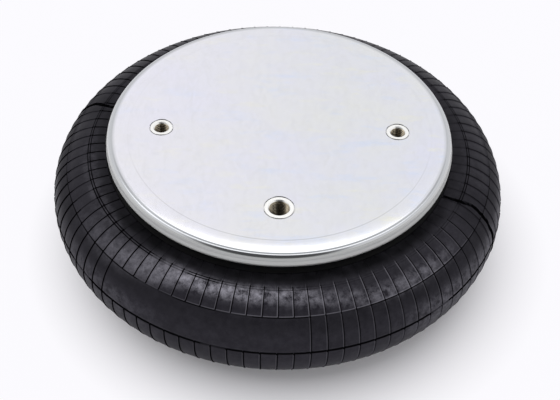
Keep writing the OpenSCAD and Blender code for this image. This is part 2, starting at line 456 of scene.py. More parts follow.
# Feed marks, really 0.1 mm apart, drawn at 0.4 mm so that they show
FEED = 0.4 * MM
WAVE_TURNS = 20 / (2 * math.pi)
rings = add_node(
    tree, "ShaderNodeTexWave",
    {"Vector": where, "Scale": 1 / (FEED * WAVE_TURNS), "Distortion": 0.4},
    wave_type="RINGS", rings_direction="Z",
)
# Stains of the bath, about 3 mm
stain = add_node(
    tree, "ShaderNodeTexNoise", {"Vector": where, "Scale": 1 / (3 * MM), "Detail": 3.0}
)
tone = add_node(
    tree, "ShaderNodeMix",
    {0: stain.outputs["Fac"], 6: linear("#FAFAF9"), 7: linear("#E6E5E3")}, data_type="RGBA",
)
gloss = add_node(
    tree, "ShaderNodeMapRange", {"Value": stain.outputs["Fac"], "To Min": 0.2, "To Max": 0.36}
)
bump = add_node(
    tree, "ShaderNodeBump", {"Height": rings.outputs["Fac"], "Strength": 0.2, "Distance": 0.01 * MM}
)
dress(tree, shader, tone.outputs[2], gloss.outputs[0], bump.outputs[0])
print("Feed marks every", FEED / MM, "mm")

# %% Mottled finishes, and the hidden steel
def mottled(name, size, detail, colours, roughness, relief=None, metallic=0.0, specular=None):
    """A finish of one noise, sized in mm, that goes from one colour to another.

    Roughness is a number, or a range that follows the noise. Relief is a bump's strength and depth in mm.
    """
    material, tree, shader = start_finish(name, metallic)
    where = add_node(tree, "ShaderNodeTexCoord").outputs["Object"]
    noise = add_node(
        tree, "ShaderNodeTexNoise",
        {"Vector": where, "Scale": 1 / (size * MM), "Detail": detail},
    )
    fac = noise.outputs["Fac"]
    low, high = (linear(colour) for colour in colours)
    tone = add_node(tree, "ShaderNodeMix", {0: fac, 6: low, 7: high}, data_type="RGBA")
    dress(tree, shader, tone.outputs[2])
    if specular is not None:
        shader.inputs["Specular IOR Level"].default_value = specular
    if isinstance(roughness, tuple):
        gloss = add_node(
            tree, "ShaderNodeMapRange", {"Value": fac, "To Min": roughness[0], "To Max": roughness[1]}
        )
        tree.links.new(gloss.outputs[0], shader.inputs["Roughness"])
    else:
        shader.inputs["Roughness"].default_value = roughness
    if relief:
        bump = add_node(
            tree, "ShaderNodeBump", {"Height": fac, "Strength": relief[0], "Distance": relief[1] * MM}
        )
        tree.links.new(bump.outputs[0], shader.inputs["Normal"])
    return material


# The bore is tapped after plating, so its thread is bare steel, dark with cutting oil in spots of 2 mm
tapped_steel = mottled(
    "oiled_tapped_steel", 2, 3.0, ("#B8AE9C", "#8A806E"), (0.16, 0.24), metallic=1.0
)
# The weld froze in lumps of about 1.2 mm, grey and dull
weld_steel = mottled(
    "gas_shielded_weld_bead", 1.2, 2.0, ("#8E8C88", "#B9B7B2"), 0.42, (0.6, 0.2), metallic=1.0
)
# Drawing soap leaves brownish marks of about 2 mm on the wire
hoop_wire = mottled("drawn_bead_wire", 2, 4.0, ("#A8A29A", "#8B8074"), 0.35, metallic=1.0)
print("More steel:", tapped_steel.name, weld_steel.name, hoop_wire.name)

# %% [markdown]
# ## Rubber
#
# The cover is carbon-black rubber, pressed against a steel mould under heat. It is charcoal, not black: wax
# and mould release come to the surface as a chalky, mottled film. A painted highlight is laid into that film's
# colour, strongest on the upper slope, and painted shadow darkens the mould's lines. An image could be wrapped
# round it. Here the mesh itself says where film and highlight lie and how near a mould line a point is, and
# the noise only breaks that up.

# %% Cover rubber: film and painted highlight
cover_rubber, tree, shader = start_finish("moulded_carbon_black_rubber")
shader.inputs["IOR"].default_value = 1.5
shader.inputs["Specular IOR Level"].default_value = 0.07
where = add_node(tree, "ShaderNodeTexCoord").outputs["Object"]
bloom = add_node(tree, "ShaderNodeAttribute", attribute_name="bloom")
even = add_node(tree, "ShaderNodeAttribute", attribute_name="even_film")
line = add_node(tree, "ShaderNodeAttribute", attribute_name="mould_line")

# Mottles of the dried film, about 5 mm across, over clouds of 40 mm
mottle = add_node(
    tree, "ShaderNodeTexNoise",
    {"Vector": where, "Scale": 1 / (5 * MM), "Detail": 8.0, "Roughness": 0.75},
)
spots = add_node(
    tree, "ShaderNodeMapRange", {"Value": mottle.outputs["Fac"], "From Min": 0.38, "From Max": 0.66}
)
film = add_node(
    tree, "ShaderNodeMath",
    {0: spots.outputs[0], 1: bloom.outputs["Fac"], 2: even.outputs["Fac"]}, operation="MULTIPLY_ADD",
)
cloud = add_node(
    tree, "ShaderNodeTexNoise",
    {"Vector": where, "Scale": 1 / (40 * MM), "Detail": 4.0, "Roughness": 0.6},
)
base = add_node(
    tree, "ShaderNodeMix",
    {0: cloud.outputs["Fac"], 6: linear("#1D1C21"), 7: linear("#29272F")}, data_type="RGBA",
)
film_and_sheen_tone = add_node(
    tree, "ShaderNodeMix", {0: film.outputs[0], 6: base.outputs[2], 7: linear("#A6A4AF")},
    data_type="RGBA",
)
gloss = add_node(
    tree, "ShaderNodeMapRange", {"Value": film.outputs[0], "To Min": 0.42, "To Max": 0.6}
)
print("Film on the rubber:", len(tree.nodes), "nodes")

# %% Cover rubber: painted shadow lines and grain
# A line is stronger here and weaker there, over some 12 mm
uneven = add_node(
    tree, "ShaderNodeTexNoise", {"Vector": where, "Scale": 1 / (12 * MM), "Detail": 2.0}
)
depth = add_node(
    tree, "ShaderNodeMapRange",
    {"Value": uneven.outputs["Fac"], "From Min": 0.3, "From Max": 0.6, "To Min": 0.65, "To Max": 1.0},
)
line = add_node(
    tree, "ShaderNodeMath", {0: line.outputs["Fac"], 1: depth.outputs[0]}, operation="MULTIPLY"
)
# The painted shadow of the mould's lines, and the painted shade and dark bands, go to near black
lined = add_node(
    tree, "ShaderNodeMix", {0: line.outputs[0], 6: film_and_sheen_tone.outputs[2], 7: linear("#050507")},
    data_type="RGBA",
)
# Deep lines give little back
dull = add_node(
    tree, "ShaderNodeMath", {0: line.outputs[0], 1: 0.45, 2: gloss.outputs[0]}, operation="MULTIPLY_ADD"
)
# Grain of the blasted mould, really 0.2 mm, drawn at 0.8 mm so that it shows
grain = add_node(
    tree, "ShaderNodeTexNoise",
    {"Vector": where, "Scale": 1 / (0.8 * MM), "Detail": 3.0},
)
bump = add_node(
    tree, "ShaderNodeBump", {"Height": grain.outputs["Fac"], "Strength": 0.5, "Distance": 0.05 * MM}
)
dress(tree, shader, lined.outputs[2], dull.outputs[0], bump.outputs[0])
print("Cover rubber:", len(tree.nodes), "nodes")

# %% Painted shadow in the lines
# A painted shadow, near black, fills the corner beside a rib or seam, in crumbs that are drawn at 1.5 mm so
# that they show. It is matt and gives nothing back
line_shadow_finish = mottled(
    "matt_soot_in_mould_lines", 1.5, 3.0, ("#030304", "#0B0B0D"), 0.95, specular=0.0
)
print("Lines:", line_shadow_finish.name)

# %% [markdown]
# Under the cover lie two sheets of cord in rubber, a soft airtight liner and the beads. The cords cross at
# a slant, so that the bulge can change its height. Their lines could be modelled one by one, but nobody
# sees them in the closed bellows. They are drawn from two lengths that each mesh carries: one round the
# axis and one along the section.

# %% Cord sheet
CORD_ANGLE = 36
CORD_PITCH = 1.4 * MM

cord_rubber, tree, shader = start_finish("calendered_cord_in_rubber")
around = add_node(tree, "ShaderNodeAttribute", attribute_name="around")
along = add_node(tree, "ShaderNodeAttribute", attribute_name="along")
flat = add_node(
    tree, "ShaderNodeCombineXYZ", {"X": around.outputs["Fac"], "Y": along.outputs["Fac"]}
)
slant = add_node(
    tree, "ShaderNodeMapping", {"Vector": flat.outputs[0], "Rotation": (0, 0, math.radians(CORD_ANGLE))}
)
cords = add_node(
    tree, "ShaderNodeTexWave", {"Vector": slant.outputs[0], "Scale": 1 / (CORD_PITCH * WAVE_TURNS)},
    wave_type="BANDS", bands_direction="Y",
)
tone = add_node(
    tree, "ShaderNodeMix",
    {0: cords.outputs["Fac"], 6: linear("#1F1E1D"), 7: linear("#6B675C")}, data_type="RGBA",
)
bump = add_node(
    tree, "ShaderNodeBump", {"Height": cords.outputs["Fac"], "Strength": 0.7, "Distance": 0.3 * MM}
)
shader.inputs["Roughness"].default_value = 0.75
dress(tree, shader, tone.outputs[2], normal=bump.outputs[0])
print("Cords every", CORD_PITCH / MM, "mm")

# %% Liner and bead rubber
# The liner is rolled smooth and shines a little, with patches of 6 mm
liner_rubber = mottled(
    "calendered_butyl_liner", 6.0, 4.0, ("#18181A", "#242427"), 0.42, (0.3, 0.05), specular=0.15
)
# The beads are matt, with a grain of 1.5 mm from their mould. Their near-black colour is painted shade, as
# they lie in the rim's shadow
bead_rubber = mottled(
    "moulded_bead_rubber", 1.5, 4.0, ("#070708", "#0B0B0D"), 0.7, (0.3, 0.05), specular=0.15
)
print("Hidden rubbers:", liner_rubber.name, bead_rubber.name)

# %% [markdown]
# ## Turning a section into a piece
#
# Almost everything here is round about an axis, as it comes off a lathe, a press or a mould. Blender's
# Screw modifier could turn a section. A short function of our own does it with arrays, because threads and
# ribs then need no more than a rule that moves the turned points.

# %% The turning function
MERGE = 0.0001 * MM


def turned(name, outlines, directions, rule=None, ring=True):
    """A piece turned from outlines of (radius, height) in mm that run counter-clockwise.

    A ring's outlines are closed. A piece that isn't a ring has one, with both its ends on the axis.
    """
    angles = np.radians(np.asarray(directions, dtype=float))[:, None]
    points, faces, first = [], [], 0
    for outline in outlines:
        section = np.asarray(outline, dtype=float)
        radius = np.tile(section[:, 0], (len(angles), 1))
        height = np.tile(section[:, 1], (len(angles), 1))
        if rule:
            radius, height = rule(radius, height, angles)
        spun = np.stack([radius * np.cos(angles), radius * np.sin(angles), height], axis=-1)
        points.append(spun.reshape(-1, 3))
        columns, rows = radius.shape
        here = np.arange(rows if ring else rows - 1)
        up = (here + 1) % rows
        for column in range(columns):
            a = first + column * rows
            b = first + (column + 1) % columns * rows
            faces.append(np.stack([a + here, b + here, b + up, a + up], axis=-1))
        first += columns * rows
    mesh = bpy.data.meshes.new(name)
    mesh.from_pydata(np.concatenate(points) * MM, [], np.concatenate(faces).tolist())
    if not ring:
        work = bmesh.new()
        work.from_mesh(mesh)
        bmesh.ops.remove_doubles(work, verts=work.verts, dist=MERGE)
        work.to_mesh(mesh)
        work.free()
    mesh.shade_smooth()
    piece = bpy.data.objects.new(name, mesh)
    scene.collection.objects.link(piece)
    return piece


def round_steps(count):
    """Evenly spread directions for a full turn"""
    return np.arange(count) * 360 / count


print("Steps of a turn in four:", round_steps(4))


# %% Arcs and crisp edges
def arc(centre, radius, start, end, steps):
    """Points of an arc in a section, from one angle to another in degrees"""
    swing = np.radians(np.linspace(start, end, steps + 1))
    return [(centre[0] + radius * math.cos(a), centre[1] + radius * math.sin(a)) for a in swing]


def crisp(piece, angle=32):
    """Keeps a steel piece's edges sharp and its flat faces flat in the light"""
    piece.data.set_sharp_from_angle(angle=math.radians(angle))
    modifier = piece.modifiers.new("even_light", "WEIGHTED_NORMAL")
    modifier.keep_sharp = True


print("Ends of a quarter arc:", np.round(arc((0, 0), 10, 0, 90, 1), 3).tolist())

# %% [markdown]
# ## Bead plates
#
# Each plate is one pressing: a flat disc, a band that slopes away by half a millimetre, and an edge that is
# rolled down and back inwards over the rubber bead. The last die leaves a fine line where the roll begins.
# It could be shaped from a cylinder with bevels. The section is turned instead, since a press tool is drawn
# the same way, and the holes are cut with a Boolean modifier whose result is kept as plain mesh.

# %% Section of a plate
SHEET = 2.5
FLAT_R = 101.5
BEND_R = 111.8
EDGE_DROP = 0.6
RIM_ROUND = 3.7
RIM_DEPTH = 10.5
LIP_R = 106.5
ROLL_LEAN = 0.5
BAND_BOW = 1.7
BAND_STEPS = (0.8, 0.65, 0.5, 0.35, 0.2)
# Distance from the bend and depth of the die's line, and the same for the crease where the flat ends
DIE_LINE = ((0.2, -0.2), (-0.2, -0.14), (-0.7, 0.04))
FLAT_CREASE = ((0.5, -0.01), (0.25, -0.045), (0, 0))

upper_bend = (BEND_R - ROLL_LEAN, -EDGE_DROP - RIM_ROUND)
lower_bend = (BEND_R, -RIM_DEPTH + RIM_ROUND)
inner_round = RIM_ROUND - SHEET
band = BEND_R - FLAT_R
plate_outline = [
    (0, -SHEET),
    (FLAT_R, -SHEET),
    *arc(upper_bend, inner_round, 90, 0, 6),
    *arc(lower_bend, inner_round, 0, -90, 6),
    *arc((LIP_R, -RIM_DEPTH + SHEET / 2), SHEET / 2, 90, 270, 12),
    *arc(lower_bend, RIM_ROUND, -90, 0, 12),
    *arc(upper_bend, RIM_ROUND, 0, 72, 14),
    *((BEND_R + aside, -EDGE_DROP + depth) for aside, depth in DIE_LINE),
    *((FLAT_R + step * band, -EDGE_DROP * step**BAND_BOW) for step in BAND_STEPS),
    *((FLAT_R + aside, depth) for aside, depth in FLAT_CREASE),
    (0, 0),
]
print("Plate section of", len(plate_outline), "points, out to", max(r for r, _ in plate_outline), "mm")

# %% Cut the holes and place the plates
PLATE_STEPS = 360
HOLE_STEPS = 96
NUT_X = 78.75
NUT_COLLAR_R = 7.5
INLET_Y = -73
INLET_COLLAR_R = 9.5
COLLAR_FIT = 0.45
HOLE_EDGE = 0.2

nut_holes = [(-NUT_X, 0, NUT_COLLAR_R), (NUT_X, 0, NUT_COLLAR_R)]
inlet_hole = (0, INLET_Y, INLET_COLLAR_R)
places = {
    "top": (Matrix.Translation((0, 0, HEIGHT * MM)), "upper_plate_set", nut_holes + [inlet_hole]),
    "bottom": (turn(180, "X"), "lower_plate_set", nut_holes),
}
for side, (place, body, holes) in places.items():
    plate = turned(f"{side}_plate", [plate_outline], round_steps(PLATE_STEPS), ring=False)
    for x, y, radius in holes:
        reach = radius + COLLAR_FIT
        punch_outline = [
            (0, -2 * SHEET),
            (reach, -2 * SHEET),
            (reach, -HOLE_EDGE),
            (reach + 2 * HOLE_EDGE, HOLE_EDGE),
            (0, HOLE_EDGE),
        ]
        punch = turned("punch", [punch_outline], round_steps(HOLE_STEPS), ring=False)
        punch.location = (x * MM, y * MM, 0)
        cut = plate.modifiers.new("punched_hole", "BOOLEAN")
        cut.operation = "DIFFERENCE"
        cut.object = punch
        cut.solver = "EXACT"
        bpy.context.view_layer.update()
        shaped = plate.evaluated_get(bpy.context.evaluated_depsgraph_get())
        plate.data = bpy.data.meshes.new_from_object(shaped)
        plate.modifiers.clear()
        bpy.data.objects.remove(punch)
    plate.data.shade_smooth()
    crisp(plate)
    plate.data.materials.clear()
    plate.data.materials.append(zinc_plate)
    plate.matrix_world = place
    bpy.context.view_layer.update()
    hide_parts(f"{side}_bead_plate")
    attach(plate, body)
    print(plate.name, "has", len(plate.data.vertices), "points and", len(holes), "holes")

# %% [markdown]
# ## Threaded nuts and inlet
#
# Blind nuts are closed at their inner end, so a bolt can't leak air. Their thread is what the eye finds in
# the dark hole. A thread could be an image or a bump. Here the bore's points are moved in and out along a
# helix, so the crests catch light from any side. A bolt's thread is right-handed at both ends, so the lower
# nuts are turned over and not mirrored.

# %% Thread rule
COUNTERSINK = 1.07
THREAD_ROOT = 0.15
THREAD_FLANK = 0.6
ON_BORE = 0.001


def thread_rule(major, minor, pitch, end):
    """A rule that presses a right-handed thread into a bore drawn at its major radius"""

    def rule(radius, height, angles):
        phase = np.mod(height / pitch - angles / (2 * math.pi), 1)
        ridge = np.clip((np.abs(2 * phase - 1) - THREAD_ROOT) / THREAD_FLANK, 0, 1)
        mouth = COUNTERSINK * major + height
        cut = np.maximum(major - (major - minor) * ridge, mouth)
        in_bore = (np.abs(radius - major) < ON_BORE) & (height > -end) & (height < 0)
        return np.where(in_bore, cut, radius), height

    return rule


NUT_R = 5.0
NUT_MINOR = 4.19
NUT_PITCH = 1.5
NUT_BORE = 15.5
NUT_RUNOUT = 0.5
INLET_R = 6.58
INLET_MINOR = 5.72
INLET_PITCH = 1.337
INLET_DEPTH = 15
INLET_RUNOUT = 0.1

nut_thread = thread_rule(NUT_R, NUT_MINOR, NUT_PITCH, NUT_BORE - NUT_RUNOUT)
inlet_thread = thread_rule(INLET_R, INLET_MINOR, INLET_PITCH, INLET_DEPTH - INLET_RUNOUT)
print("Threads", round(NUT_R - NUT_MINOR, 2), "and", round(INLET_R - INLET_MINOR, 2), "mm deep")

# %% Sections of nut and inlet
NUT_DEPTH = 19
NUT_BODY_R = 10
INLET_BODY_R = 12.5
EASE = 0.4
COLLAR_EDGE = 0.25
DRILL_POINT = 1.5
BORE_START = -0.01
ROWS_PER_TURN = 10


def bore_rows(radius, bottom, thread_pitch):
    """Points down a bore, close enough together to carry a thread"""
    return [(radius, height) for height in np.arange(BORE_START, bottom, -thread_pitch / ROWS_PER_TURN)]


def collar(body_radius, depth, collar_radius, bore_radius):
    """The outside of a threaded piece, from its inner end to the mouth of its bore"""
    return [
        (body_radius - EASE, -depth),
        (body_radius, -depth + EASE),
        (body_radius, -SHEET),
        (collar_radius, -SHEET),
        (collar_radius, -COLLAR_EDGE),
        (collar_radius - COLLAR_EDGE, 0),
        (bore_radius * COUNTERSINK, 0),
    ]


nut_outline = [
    (0, -NUT_DEPTH),
    *collar(NUT_BODY_R, NUT_DEPTH, NUT_COLLAR_R, NUT_R),
    *bore_rows(NUT_R, -NUT_BORE, NUT_PITCH),
    (NUT_R, -NUT_BORE),
    (0, -NUT_BORE - DRILL_POINT),
]
inlet_outline = [
    (INLET_R, -INLET_DEPTH),
    *collar(INLET_BODY_R, INLET_DEPTH, INLET_COLLAR_R, INLET_R),
    *bore_rows(INLET_R, -INLET_DEPTH, INLET_PITCH),
]
print("Sections of", len(nut_outline), "and", len(inlet_outline), "points")

# %% Turn them and oil their bores
NUT_STEPS = 96
INLET_STEPS = 120
BORE_MARGIN = 1.05
PLATED_MOUTH = 0.7 * MM


def oil_the_bore(piece, radius):
    """Gives the faces in a piece's bore the finish of a tapped thread, below its plated mouth"""
    piece.data.materials.append(turned_steel)
    piece.data.materials.append(tapped_steel)
    for face in piece.data.polygons:
        inside = math.hypot(face.center.x, face.center.y) < radius * BORE_MARGIN * MM
        face.material_index = 1 if inside and face.center.z < -PLATED_MOUTH else 0


for side, (place, body, holes) in places.items():
    for hand, x in (("left", -NUT_X), ("right", NUT_X)):
        nut = turned(f"{side}_{hand}_nut", [nut_outline], round_steps(NUT_STEPS), nut_thread, ring=False)
        nut.matrix_world = place @ Matrix.Translation((x * MM, 0, 0))
        bpy.context.view_layer.update()
        crisp(nut)
        oil_the_bore(nut, NUT_R)
        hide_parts(f"{side}_{hand}_blind_nut")
        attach(nut, body)
inlet = turned("air_inlet", [inlet_outline], round_steps(INLET_STEPS), inlet_thread)
inlet.matrix_world = places["top"][0] @ Matrix.Translation((0, INLET_Y * MM, 0))
bpy.context.view_layer.update()
crisp(inlet)
oil_the_bore(inlet, INLET_R)
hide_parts("air_inlet_boss")
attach(inlet, "upper_plate_set")
print("Nut of", len(nut.data.vertices), "points, inlet of", len(inlet.data.vertices))

# %% [markdown]
# ## Outer cover
#
# The mould is made of rings and two half shells. Air leaves it through fine slots, which the rubber fills:
# those are the ribs. Thin ring lines show where the mould's rings meet, a bold one where it parts, and two
# rough seams where the halves close. Ribs could be separate strips. One mesh is made instead, with its
# points gathered where a rib or line is, so that nothing has to be joined.

# %% Where the ribs and seams lie
MIDDLE = HEIGHT / 2
BULGE_R = 118.3
SKIN_R = 35.0
COVER = 2.2
SWEEP = 94.8
RIBS_PER_HALF = 46
RIB_W = 1.0
SEAM_AT = -21.4
SEAM_BAND = 5.2
SEAM_W = 1.4
SEAM_SHIFT = 2.5

widest = BULGE_R + SKIN_R
half_rib = math.degrees(RIB_W / 2 / widest)
half_seam = math.degrees(SEAM_W / 2 / widest)
pitch = (180 - SEAM_BAND) / (RIBS_PER_HALF - 1)
halves = np.array([SEAM_AT, SEAM_AT + 180])
ribs = np.concatenate([half + SEAM_BAND / 2 + np.arange(RIBS_PER_HALF) * pitch for half in halves])
# The shells met a little askew, so the left seam lies further forward
seams = halves + np.array([0, SEAM_SHIFT])
forward = np.array([-1, 1])
print(len(ribs), "ribs, and seams at", seams, "degrees")

# %% Where the ring lines lie, and the mesh's columns and rows
PARTING = 6.7
SHOULDER = 46.5
RIM_RINGS = (74.4, 76.9)
RIB_END = 93.5
RIB_STEP = 0.05
SKIN_ROWS = 41
# Latitude, height in mm and half width in degrees of each ring line
RING_LINES = [
    (PARTING, -0.5, 1.35),
    *((side * SHOULDER, 0.24, 1.0) for side in (1, -1)),
    *((side * at, 0.22, 0.85) for at in RIM_RINGS for side in (1, -1)),
]

across_rib = half_rib * np.array([-1.5, -1, -0.44, 0.44, 1, 1.5, 2, 2.6])
room = pitch - (across_rib[-1] - across_rib[0])
between = across_rib[-1] + room * np.array([1 / 3, 2 / 3])
across_seam = half_seam * np.linspace(-4.5, 10.3, 50)
across_ring = np.array([-1.9, -1.34, -0.9, -0.45, 0.3, 1])

columns = [rib + np.concatenate([across_rib, between]) for rib in ribs]
columns += [seam + way * across_seam for seam, way in zip(seams, forward)]
columns = np.unique(np.round(np.mod(np.concatenate(columns), 360), 5))
rows = [np.linspace(-SWEEP, SWEEP, SKIN_ROWS)]
rows += [at + half * across_ring for at, _, half in RING_LINES]
rows += [side * (RIB_END + np.array([-RIB_STEP, RIB_STEP])) for side in (-1, 1)]
rows = np.unique(np.round(np.concatenate(rows), 4))
print(len(columns), "columns,", len(rows), "rows")

# %% Helpers for the mould's marks
STEEP = 1.8


def bell(offset, half):
    """1 at a line's middle, 0 past its half width, with steep sides"""
    return np.clip((1 - np.abs(offset) / half) * STEEP, 0, 1)


def smooth(low, high, value):
    """0 below one value, 1 above another, smooth between"""
    t = np.clip((value - low) / (high - low), 0, 1)
    return t * t * (3 - 2 * t)


def nearest(angles, spots):
    """Turn from each direction to the closest of some spots, and which spot that is"""
    gap = np.mod(np.degrees(angles) - spots[None, :] + 180, 360) - 180
    pick = np.abs(gap).argmin(axis=1)
    return gap[np.arange(len(gap)), pick][:, None], spots[pick][:, None]


print("A line is at full height within", round(1 - 1 / STEEP, 2), "of its half width")

# %% Ribs
RIB_H = 0.4
SWELL = 0.14
PANEL = (-136.4, -83.2)
# How much wider a rib's painted shadow line is at the far right and at the far left
WIDER_RIGHT = 0.5
WIDER_LEFT = 0.25
# Strength of the ribs' painted shadow lines close to the rims, what the left side adds to it, and how much
# weaker they are on the left side above the shoulder line
RIM_FROM = 77
RIM_LINE = 0.55
RIM_LEFT = 0.25
WEAKER_LEFT = 0.45


def rib_marks(angles, latitude):
    """Height, painted shadow line and painted crest highlight of the ribs"""
    gap, rib = nearest(angles, ribs)
    bearing = np.mod(rib + 180, 360) - 180
    bare = (bearing > PANEL[0]) & (bearing < PANEL[1]) & (latitude > PARTING) & (latitude < SHOULDER)
    # Between two ribs the skin swells a little, so it lies lower by a tenth at a rib's foot
    swell = SWELL * (np.sin(math.pi / 2 * np.clip(2 * np.abs(gap) / pitch, 0, 1)) - 1)
    height = np.where(bare, 0, RIB_H * bell(gap, half_rib) + swell)
    # A rib gets a painted shadow on one side, and its crest a painted highlight
    wider = np.where(np.cos(angles) > 0, WIDER_RIGHT, WIDER_LEFT)
    wide = half_rib * (1 + wider * np.cos(angles) ** 2)
    line = np.where(bare, 0, np.clip(1.9 - 1.6 * np.abs(gap / wide - 0.7), 0, 1))
    left = smooth(0.75, 0.95, -np.cos(angles))
    varied = 1 - WEAKER_LEFT * left * smooth(45, 49, latitude)
    line = line * np.where(np.abs(latitude) > RIM_FROM, RIM_LINE + RIM_LEFT * left, varied)
    crest = np.where(bare, 0, np.clip(1.2 - 1.5 * np.abs(gap / half_rib + 0.5), 0, 1))
    return height, line, crest


print("Ribs", RIB_H, "mm high, none from", PANEL[0], "to", PANEL[1], "degrees")

# %% Seams
SEAM_H = 0.6
SEAM_GAP = 1.3
SEAM_LEAN = 1.5
# Size, rate and start of the waves that a seam wanders in
SEAM_WAVES = ((0.4, 0.3, 0), (0.4, 0.9, 1), (0.3, 1.2, 0))


def seam_marks(angles, latitude):
    """Height of the lip, depth of the groove and painted shadow line of the seams"""
    # The halves never close quite true: a seam wanders by a few tenths of a millimetre, and near the rims
    # it leans forward
    wander = sum(size * np.sin(latitude * rate + start) for size, rate, start in SEAM_WAVES)
    gap, seam = nearest(angles, seams)
    lean = SEAM_LEAN * smooth(58, 82, np.abs(latitude))
    gap = gap * np.where(seam == seams[0], *forward) - half_seam * wander - lean
    rough = 0.75 + 0.25 * np.sin(latitude * 3.7) * np.sin(latitude * 1.3 + 2)
    lip = SEAM_H * rough * bell(gap + 0.5 * half_seam, half_seam)
    groove = SEAM_GAP * rough * bell(gap - 1.3 * half_seam, 1.2 * half_seam)
    line = np.clip(3.4 - 1.5 * np.abs(gap / half_seam - 1.4), 0, 1)
    return lip, groove, line


print("Seams", SEAM_H, "mm high beside a groove of", SEAM_GAP, "mm")

# %% Ring lines, and all marks together
# Direction round the axis where the painted shade of the rim rings is faintest
FAINTEST_AT = -56


def ring_marks(angles, latitude):
    """Height, painted shade line and painted crest highlight of the ring lines"""
    height = sum(tall * bell(latitude - at, half) for at, tall, half in RING_LINES)
    # Each line has a painted shade along its lower side. By the rims it is faintest right of the inlet, and
    # along the parting line it is broken
    closed = 0.55 + 0.5 * np.cos(angles) ** 2 + 0.2 * np.sin(11 * angles) * np.sin(4 * angles + 1)
    rim_shade_strength = closed * (1 - 0.8 * np.clip(np.cos(angles - math.radians(FAINTEST_AT)), 0, 1) ** 6)
    broken = 0.85 + 0.45 * np.sin(13 * angles) * np.sin(5 * angles + 2)
    line = 0
    for at, _, half in RING_LINES:
        darkness = broken if at == PARTING else closed if abs(at) == SHOULDER else rim_shade_strength
        line = line + np.clip(darkness, 0, 1) * bell(latitude - at + 0.9 * half, half)
    crest = bell(latitude - SHOULDER - 0.2, 0.7)
    return height, np.clip(line, 0, 1), crest


def mould_marks(angles, latitude):
    """Height of ribs and seams, height of ring lines, painted shadow of the lines, and where a painted crest
    highlight lies
    """
    rib, rib_line, rib_crest = rib_marks(angles, latitude)
    lip, groove, seam_line = seam_marks(angles, latitude)
    ring, ring_line, ring_crest = ring_marks(angles, latitude)
    reached = np.abs(latitude) < RIB_END
    ridge = reached * (np.where(lip > 0, np.maximum(rib, lip), rib) - groove)
    dark = np.maximum(reached * np.maximum(rib_line, seam_line), ring_line)
    return ridge, ring, dark, np.maximum(reached * rib_crest, ring_crest)


print(len(RING_LINES), "ring lines")

# %% Make the cover
ON_SKIN = 0.01
INSIDE_ROWS = 9


def cover_rule(radius, height, angles):
    """Raises the mould's marks on the skin and leaves the inside alone"""
    latitude = np.degrees(np.arctan2(height - MIDDLE, radius - BULGE_R))
    ridge, ring, _, _ = mould_marks(angles, latitude)
    out = np.hypot(radius - BULGE_R, height - MIDDLE)
    lifted = np.where(out > SKIN_R - ON_SKIN, out + ridge + ring, out)
    turn_up = np.radians(latitude)
    return BULGE_R + lifted * np.cos(turn_up), MIDDLE + lifted * np.sin(turn_up)


def wall_arc(radius, latitudes):
    """Points on the bulge's section circle"""
    ups = np.radians(latitudes)
    return [(BULGE_R + radius * math.cos(up), MIDDLE + radius * math.sin(up)) for up in ups]


inside_rows = np.linspace(SWEEP, -SWEEP, INSIDE_ROWS)
cover_outline = wall_arc(SKIN_R, rows) + wall_arc(SKIN_R - COVER, inside_rows)
cover = turned("cover", [cover_outline], columns, cover_rule)
print("Cover of", len(cover.data.vertices), "points")

# %% [markdown]
# ### Painted shadow, film and painted highlight on the cover
#
# Painted shadow lies in the mould's lines, the release film dried in patches, and painted highlights and
# painted shade lie over them. All could be painted by hand. Here they follow from two angles: how far round
# from the inlet a point lies, and how high on the bulge. Numbers on the points take that to the material, and
# faces that lie in a line get the painted shadow's own finish.

# %% Painted shadow on the faces in the lines
LINE_SHADOW_FROM = 0.6

angles = np.radians(columns)[:, None]
latitude = np.tile(np.concatenate([rows, inside_rows]), (len(columns), 1))
_, _, line, crest = mould_marks(angles, latitude)
cover.data.materials.append(cover_rubber)
cover.data.materials.append(line_shadow_finish)
corners = np.empty(len(cover.data.loops), dtype=np.int32)
cover.data.loops.foreach_get("vertex_index", corners)
# Faces that lie mostly in a line get the painted shadow's near-black finish
shadowed_faces = line.ravel()[corners.reshape(-1, 4)].mean(axis=1) > LINE_SHADOW_FROM
cover.data.polygons.foreach_set("material_index", shadowed_faces.astype(np.int32))
print("Soot on", int(shadowed_faces.sum()), "of", len(shadowed_faces), "faces")

# %% Film and painted highlight
INLET_BEARING = -90.0
THIN_FILM = 0.03
LONG_FILM_AND_SHEEN = 0.88
SHORT_FILM_AND_SHEEN = 0.34
FLANK_LIGHT = 0.25
RIM_HIGHLIGHT = 0.2
EVEN_SHEEN = 0.2


def patch_at(value, middle, inner, outer):
    """1 up to one distance from a middle, 0 past another, smooth between"""
    return 1 - smooth(inner, outer, np.abs(value - middle))


# Film and painted highlight lie in a crescent left of the inlet and in a short patch right of it; painted
# light lies low on both flanks, and a painted highlight by the rim
from_inlet, _ = nearest(angles, np.array([INLET_BEARING]))
aside = np.abs(from_inlet)
long_patch = patch_at(from_inlet, -18, 0, 55)
short_patch = patch_at(from_inlet, 36, 4, 22)
crescent = 68 - 15 * smooth(12, 42, np.abs(from_inlet + 12))
spread = 13 + 9 * smooth(22, 34, -from_inlet)
across = patch_at(latitude, crescent, 2, spread)
flank_patch = smooth(25, 45, aside) * (1 - smooth(80, 95, aside)) * patch_at(latitude, 6, 8, 26)
rim_patch = patch_at(from_inlet, -70, 10, 32) * patch_at(latitude, 76, 3, 12)
film = THIN_FILM + across * (LONG_FILM_AND_SHEEN * long_patch + SHORT_FILM_AND_SHEEN * short_patch)
film = film + FLANK_LIGHT * flank_patch + RIM_HIGHLIGHT * rim_patch
